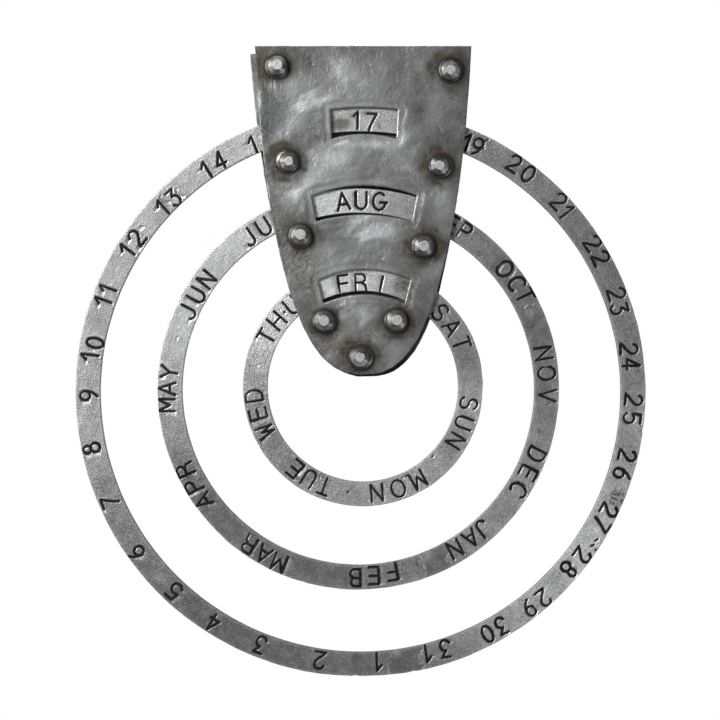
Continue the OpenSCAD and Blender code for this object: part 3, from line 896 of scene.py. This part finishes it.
def rivetSteel(name, look):
    material, desk = newFinish(name)
    place = desk.place()
    clouds = desk.noise(place, 3.2 * mm, 4.0, 0.6, 0.5)
    specks = desk.noise(place, 0.7 * mm, 4.0, 0.7)
    _, y, _ = desk.split(place)
    rimOfTop = look["face"] + 0.12 * mm
    top = desk.rise(y, rimOfTop, look["face"])
    lip = desk.rise(y, look["shoulder"], rimOfTop)
    # painted shade: darker from the head's waist back to where it meets the plate; the spacers lie deeper
    # still, so it darkens them all over
    foot = desk.rise(y, look["waist"], look["foot"])
    steel = desk.coats(desk.mix(desk.rise(clouds, 0.36, 0.62), look["deepTone"], look["tone"]), look,
        (lip * 0.55, "darkTone"),
        (top * desk.rise(specks, 0.66, 0.5, 0.95, 0.4), "worn"),
        (foot * 0.7, "darkTone"),
        (desk.rise(specks, 0.6, 0.72) * 0.6, "darkTone"))
    rough = look["rough"] + top * 0.22 + (specks - 0.5) * 0.25
    steelShader(desk, steel, rough, clouds * 0.15 + specks * 0.06, 0.92)
    return material


def wallWhite():  # paint for the lamps' light, plain white for the rays that see the wall
    material, desk = newFinish("wallWhite")
    rays = ("Is Camera Ray", "Is Glossy Ray", "Is Transmission Ray")
    camera, glossy, through = [desk.node("ShaderNodeLightPath", out=ray) for ray in rays]
    seen = desk.maths("MAXIMUM", desk.maths("MAXIMUM", camera, glossy), through)
    paint = desk.node("ShaderNodeBsdfDiffuse", None, {"Color": (0.86, 0.86, 0.86, 1)})
    glow = desk.node("ShaderNodeEmission", None, {"Color": (1, 1, 1, 1), "Strength": 1.0})
    mixed = desk.node("ShaderNodeMixShader", None, {0: seen, 1: paint, 2: glow})
    desk.node("ShaderNodeOutputMaterial", None, {"Surface": mixed})
    return material


# The object

frontLook = {
    "step": 0.68, "backStep": 3.2, "rimStep": 0.8, "insets": [0.2, 0.45, 0.85], "edge": 0.35,
    "cutEdge": 0.55, "dish": 0.2, "dishWide": 4.6, "wave": 0.09, "pits": 0.12, "ragged": 0.28, "deepest": 0.9,
    "dents": [(-53, -4, 1.6, 6.5, 0.6), (39, -20, 0.5, 2.2, 0.2, 35), (-6.3, -104, 1.3, 1.3, 0.12)],
    "pale": [
        (-33, -3, 7, 10, 1.3), (-21, -5, 9, 6, 0.9), (-8, 9, 14, 7, 0.8), (-4, -14, 12, 4, 0.9),
        (-38, -20, 11, 5, 0.5, 35), (-29, -49, 10, 10, 1.5), (12, -20, 12, 16, 0.4),
        (-14, -34, 14, 6, 1), (-15, -61, 5, 4, 1), (21, -37, 11, 9, 0.5), (-10, -120, 8, 5, 0.5),
        (6, -126, 5, 5, 0.6), (-17, -132, 4, 6, 0.7), (-34, -118, 4, 6, 0.6), (4, -71, 12, 8, 2.4),
        (-8, -87, 16, 6, 0.6), (-2, -27.5, 15, 2, 1), (-17.5, -17, 1.2, 7, 1),
        (21, -25, 2, 4, 0.8, -30), (-3, -46, 24, 1.6, 0.5), (-20, -100, 4, 9, 0.6),
        (-3, -113, 15, 7, 1), (-31, -127, 5, 9, 0.5), (-19, 18, 9, 4, 0.3), (-6.3, -104, 1.6, 1.6, 1.2),
        (40, -50, 4, 13, 0.5), (34, -88, 3, 12, 0.5, -20),
    ],
    "brush": [(-44, 1.5, 4.5, 4, 0.8), (-37, -45, 4, 4.5, 0.7)],
    "blue": [
        (-13, -66.5, 7, 4.5, 0.9), (24, -26, 8, 6, 0.3), (-45, -9, 8, 7, 1, 30), (-50, -22, 5, 7, 0.8),
        (-26, -16, 6, 4, 0.4), (20, -4, 9, 7, 0.2),
    ],
    "rust": [
        (-26, -97, 5, 7, 0.5), (-22, -128, 6, 4, 0.5), (32, -72, 5, 3.5, 0.6), (-13, -121, 6, 5, 0.8),
        (23, -121, 5, 4, 0.7), (5, -124, 8, 4, 0.8), (-28, -92, 8, 12, 0.45), (-6, -129, 14, 7, 0.6),
        (25, -97, 5, 13, 0.55), (-32, -84, 6, 6, 0.6), (-42, -68, 4, 8, 0.4),
    ],
    "dark": [
        (-51, 3, 5, 7, 0.9), (-48, -22, 6, 6, 0.8), (-50, 15, 10, 10, 1.1), (-28, 15, 8, 8, 0.9),
        (-52, 0, 5, 6, 0.8), (22, -14, 8, 5, 0.6), (49, 10, 9, 14, 1.1), (30, 18, 12, 3, 0.3),
        (29.5, -9.5, 3.5, 3.5, 0.8), (25, 8, 9, 8, 0.4), (46, -40, 5, 12, 0.6), (27, -82, 10, 12, 0.4),
        (-33, -62, 6, 6, 0.5), (-10, -131, 16, 7, 0.5), (18, -109, 7, 6, 0.5), (-22, -30, 8, 5, 0.3),
        (-30, -110, 6, 8, 0.3),
    ],
    "smudges": [
        (-26, -27, 6, 3, 0.3), (-14, -96, 5, 3, 0.25), (41, -79, 7, 4, 0.8), (22, -76, 6, 4, 0.6),
        (-37, -30, 8, 4, 0.9), (-44, -42, 5, 6, 0.5), (-53, 8, 5, 9, 0.5), (30, -36, 4, 6, 0.5),
        (-7, -127, 4, 6, 0.6), (35, 11, 4, 8, 0.6), (24, -113, 5, 4, 0.5),
    ],
}
frontTone = {
    "cloud": 30, "rough": 0.4, "pebbleDeep": 0.05, "streakDeep": 0.03, "deepTone": (0.205, 0.205, 0.197),
    "tone": (0.358, 0.372, 0.376), "blueTone": (0.37, 0.405, 0.42), "deepBlue": (0.1, 0.122, 0.135),
    "paleTone": (0.78, 0.84, 0.865), "darkTone": (0.085, 0.077, 0.066), "haloTone": (0.066, 0.055, 0.04),
    "rustTone": (0.42, 0.35, 0.25), "fleckTone": (0.36, 0.3, 0.22), "worn": (0.6, 0.6, 0.6),
    "rivetShadowTone": (0.025, 0.021, 0.018), "rimWear": 0.2,
}
backLook = {**frontLook,
    "step": 1.1, "backStep": 1.6, "rimStep": 1.0, "insets": [0.25, 0.6], "dish": 0,
    "dents": [], "blue": [], "rust": [], "brush": [], "smudges": [],
    # pale: painted highlight on the back plate's lit left edge; dark: painted shadow at the lower right,
    # where the front plate shades it
    "pale": [(-54, 2, 4, 20, 0.8)],
    "dark": [(44, -80, 14, 48, 1.1), (18, -140, 30, 12, 1.1)],
}
# darker than the front plate: partly the back plate's own steel, partly painted shade from the front plate in
# front of it; the near-black darkTone is for the painted shadow
backTone = {**frontTone, "rough": 0.5, "deepTone": (0.12, 0.118, 0.115), "tone": (0.2, 0.2, 0.2),
    "rimWear": 0, "darkTone": (0.02, 0.02, 0.02), "blueTone": (0.21, 0.222, 0.23)}

ringLook = {
    "fine": 0.3, "quickFine": 0.6, "coarse": 1.6, "edge": 0.45, "worn": 0.22, "wave": 0.05, "grain": 0.022,
    "bold": 1, "scarfDeep": 0.08, "nicks": [], "dents": [], "pale": [], "dark": [], "rust": [],
    "smooth": [], "shade": [], "lift": [], "patches": [], "ghosts": [],
}
ringTone = {
    "grainLong": 9, "grainWide": 0.3, "pebble": 0.72, "brush": 0.1, "pebbleDeep": 0.17, "rough": 0.46,
    "cloud": 11, "shadeTone": (0.13, 0.127, 0.123), "sideTone": (0.05, 0.042, 0.036),
    "deepTone": (0.26, 0.26, 0.26), "tone": (0.41, 0.42, 0.423), "fleckTone": (0.09, 0.09, 0.083),
    "worn": (0.76, 0.795, 0.805), "paleTone": (0.7, 0.68, 0.65), "darkTone": (0.06, 0.058, 0.056),
    "rustTone": (0.14, 0.115, 0.1), "grooveTone": (0.025, 0.022, 0.02), "grooveRust": (0.055, 0.044, 0.035),
}
dateLook = {**ringLook,
    "nicks": [
        (97.6, 0, 0.9, 1, 0.5), (169.4, 0, 1.2, 1, 0.5), (181.2, 0, 0.8, 1, 0.4), (178, 0, 22, 1, 0.5),
    ],
    "dents": [
        (168.2, 4.2, 0.7, 2.4, 0.45), (172.2, -4.6, 1, 1.8, 0.4), (112, 1.5, 4, 1.6, 0.12),
        (4.2, -3.2, 0.6, 1.6, 0.35, 0.5), (122.6, 2.8, 1.8, 0.4, 0.25),
    ],
    "pale": [(172.2, -4.8, 1.6, 1.8), (227, 0, 4, 3, 0.6)],
    "dark": [
        (355.6, -2, 4, 2, 0.6), (112.5, 2.5, 5, 4, 1.5), (87, 3.5, 4, 2.5, 0.6),
        (97.7, 4.6, 0.8, 0.8, 0.9), (101, 1, 8, 8, 0.3), (134, 0, 7, 7, 0.45), (141, 1.5, 6, 3, 0.4),
        (158, 0, 9, 5, 0.35), (104, 3, 5, 2, 0.4), (168.2, 4.2, 0.9, 2.4), (222, -2.5, 1.2, 1.6, 0.7),
        (123.8, 5.6, 1, 0.7),
    ],
    "rust": [(181, -4, 2.4, 2), (355.9, -2, 4, 2.1, 3)],
    "smooth": [(308, 0, 85, 40)],
    # shade and lift: painted shade and painted highlight round the ring
    "shade": [(208, 0, 98, 40, 0.95), (58, 0, 80, 40, 0.45), (172, 0, 30, 40, 0.3)],
    "lift": [(325, 0, 80, 40, 0.45), (127, 0, 62, 40), (265, 0, 30, 40, 0.3), (0, 0, 20, 40, 0.3)],
    "patches": [(170.3, 8.5)],
    "ghosts": [
        ("(", 26.9, 2.5, 0, 0.6), ("-", 122.1, 2.9, 62, 0.8), ("-", 123.5, 2.7, 58, 0.8),
        ("-", 120.4, 0, 60, 0.3), ("(", 314.6, 1, 10, 0.4), ("(", 317.9, -2, 0, 0.4),
        (".", 123.9, 5.2, 0, 0.7), ("-", 307, 0.5, 30, 0.35),
    ],
}
monthLook = {**ringLook, "bold": 0.95,
    "dents": [(160.9, -2, 0.9, 3, 0.4), (103.2, -1, 1.6, 1.2, 0.15), (98.5, 0, 1.4, 1, 0.12)],
    "pale": [(157.5, -4, 2, 2), (66, 0, 1.8, 3, 0.6)],
    "dark": [
        (70.2, -2, 1.6, 2.4, 0.8), (103.2, -1, 1.6, 1.2), (98.5, 0, 1.2, 1, 0.7), (160.9, -2, 1.2, 3.2),
        (109.6, 0, 0.8, 0.8),
    ],
    "smooth": [(303, 0, 60, 40)],
    # shade and lift: painted shade and painted highlight round the ring
    "shade": [(195, 0, 70, 40, 0.9), (64, 0, 64, 40, 0.8), (238, 0, 28, 40, 0.6), (130, 0, 30, 40, 0.3)],
    "lift": [(305, 0, 48, 40, 1.3), (353, 0, 24, 40, 0.9), (128, 0, 30, 40, 0.4)],
    "patches": [(155.5, 7.5)],
    "ghosts": [
        ("O", 51.3, 0.9, -6, 0.45), ("(", 64, 0, 0, 0.35), (".", 285.7, 0, 0, 0.2),
        ("-", 94.5, 1, 20, 0.5),
    ],
}
weekdayLook = {**ringLook, "bold": 0.85,
    "dents": [
        (154, -4.5, 1.8, 1, 0.2), (188, -0.5, 0.8, 0.8, 0.2), (313.5, 0, 0.5, 0.5, 0.3),
        (354, 0, 0.3, 7, 0.2),
    ],
    "dark": [
        (76.5, 0, 4.5, 4.5, 0.7), (21.5, 0.5, 4.3, 5, 1.2), (188, -0.5, 1.2, 1, 0.8),
        (241.5, 0, 2, 6, 0.6), (354.1, 0, 0.35, 6, 0.7), (86, -2.5, 0.8, 0.8), (154, -4.5, 2, 1.2, 0.7),
    ],
    "rust": [(21, 0, 4.2, 5, 0.6)],
    # shade and lift: painted shade and painted highlight round the ring
    "shade": [(50, 0, 40, 40, 0.3), (130, 0, 25, 40, 0.2), (240, 0, 22, 40, 0.3)],
    "lift": [
        (303, 0, 25, 40, 0.7), (100, 0, 14, 40, 0.45), (150, 0, 22, 40, 0.4), (195, 0, 20, 40, 0.1),
        (352, 0, 22, 40, 1.7),
    ],
    "ghosts": [
        (".", 135.3, -4.5, 0, 0.7), (".", 313.5, 0, 0, 0.9), ("-", 153.5, -4, 70, 0.6),
        (".", 188, -0.5, 0, 0.8), (".", 156.5, -4.2, 0, 0.7), ("-", 281, 0, 45, 0.3),
        ("-", 205.5, -4, 20, 0.5),
    ],
}
rings = {"date_ring": (dateLook, dateWords), "month_ring": (monthLook, monthWords),
    "weekday_ring": (weekdayLook, weekdayWords)}
for name, (look, words) in rings.items():
    piece, middle = stampedRing(name, look, words)
    piece.data.materials.append(ringSteel(name + "_steel", middle, ringTone))

for name, look, tone in (("front_plate", frontLook, frontTone), ("back_plate", backLook, backTone)):
    piece = beatenPlate(name, look)
    piece.data.materials.append(plateSteel(name + "_steel", tone))
    print(name, "beaten,", len(piece.data.polygons), "faces")

rivetMm = {"head": 6.1, "shank": 3.2, "tail": 4.7, "tailDeep": 1.5}  # radii, and how deep the tail's cone is
headLow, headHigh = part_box("rivet_top_left")
plateLow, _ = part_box("front_plate")
whole = headHigh.y - headLow.y
head = (plateLow.y - headLow.y) / whole
shank, tail = rivetMm["shank"] / rivetMm["head"], rivetMm["tail"] / rivetMm["head"]
tailFrom = 1 - rivetMm["tailDeep"] * mm / whole
rivetProfile = [  # rows up to this point, its radius as a part of the head's, its depth as a part of all
    (0, 0, 0), (4, 0.46, 0), (8, 0.91, head * 0.58), (3, 0.98, head * 0.82), (3, 1, head * 0.97),
    (1, 0.99, head + 0.01), (2, shank, head + 0.012), (2, shank, tailFrom), (2, tail, 1), (3, 0, 1),
]
rivetTone = {
    "rough": 0.35, "deepTone": (0.2, 0.198, 0.195), "tone": (0.36, 0.36, 0.36), "worn": (0.6, 0.6, 0.6),
    "darkTone": (0.07, 0.065, 0.06), "shoulder": headLow.y + 0.75 * mm, "face": headLow.y + 0.2 * mm,
    "waist": headLow.y + 3.2 * mm, "foot": headLow.y + 4.6 * mm,
}
headSteel = rivetSteel("rivet_steel", rivetTone)
tree = rivetTree(headSteel, rivetProfile)
plainBlow = 0.2
hammered = {"rivet_date_left": 0.42, "rivet_date_right": 0.34, "rivet_top_right": 0.32, "rivet_tip": 0.34}
rivets = [node for node in nodes if node.startswith("rivet_")]
for seed, node in enumerate(sorted(rivets)):
    piece = forgedRivet(node, tree, hammered.get(node, plainBlow), seed + 1)
print(len(rivets), "rivets forged")

spacerSteel = rivetSteel("spacer_steel", {**rivetTone, "rough": 0.42})
for node in nodes:
    if node.startswith("spacer_"):
        nodes[node].data.materials.clear()
        nodes[node].data.materials.append(spacerSteel)


# Studio

studio = {
    "lamps": [  # name, place, width, height, watts and tint
        ("key", (-0.85, -1.05, 0.42), 0.5, 0.5, 19, (1, 0.99, 0.97)),
        ("fill", (0.75, -1.05, -0.7), 0.5, 0.5, 2.5, (1, 0.99, 0.98)),
        ("side", (-1.3, -0.2, 0.2), 0.7, 1.5, 10, (1, 1, 1)),
        ("low", (0.9, -0.2, -0.95), 0.5, 0.5, 1.5, (1, 1, 1)),
        ("behind", (0.9, 0.95, 0.6), 0.8, 0.8, 5, (1, 1, 1)),
    ],
    "air": (0.14, 0.141, 0.144, 1), "wallAt": 1.6, "wallHalf": 30,
    "eye": (-0.001, -0.906, -0.136), "lens": 89.3, "sensor": 36,
}


def areaLamp(name, place, wide, high, power, tint):
    lamp = bpy.data.lights.new(name, "AREA")
    lamp.shape = "ELLIPSE"
    lamp.size = wide
    lamp.size_y = high
    lamp.energy = power
    lamp.color = tint
    holder = newObject(name, lamp)
    holder.location = place
    aim = (cadLow + cadHigh) / 2 - Vector(place)
    holder.rotation_euler = aim.to_track_quat("-Z", "Y").to_euler()


def greyAir(colour):
    world = bpy.data.worlds.new("studio")
    world.use_nodes = True
    world.node_tree.nodes.clear()
    desk = Desk(world.node_tree)
    air = desk.node("ShaderNodeBackground", None, {"Color": colour, "Strength": 1.0})
    desk.node("ShaderNodeOutputWorld", None, {"Surface": air})
    bpy.context.scene.world = world


def whiteWall(at, half):
    mesh = bpy.data.meshes.new("wall")
    corners = [(-half, at, -half), (half, at, -half), (half, at, half), (-half, at, half)]
    mesh.from_pydata(corners, [], [(0, 1, 2, 3)])
    mesh.materials.append(wallWhite())
    newObject("wall", mesh)


for lampRow in studio["lamps"]:
    areaLamp(*lampRow)
greyAir(studio["air"])
whiteWall(studio["wallAt"], studio["wallHalf"])
lens = bpy.data.cameras.new("camera")
lens.sensor_width = studio["sensor"]
lens.lens = studio["lens"]
camera = newObject("camera", lens)
camera.location = studio["eye"]
camera.rotation_euler = (math.radians(90), 0, 0)
bpy.context.scene.camera = camera
bpy.context.scene.view_settings.view_transform = "Standard"

print("studio ready")
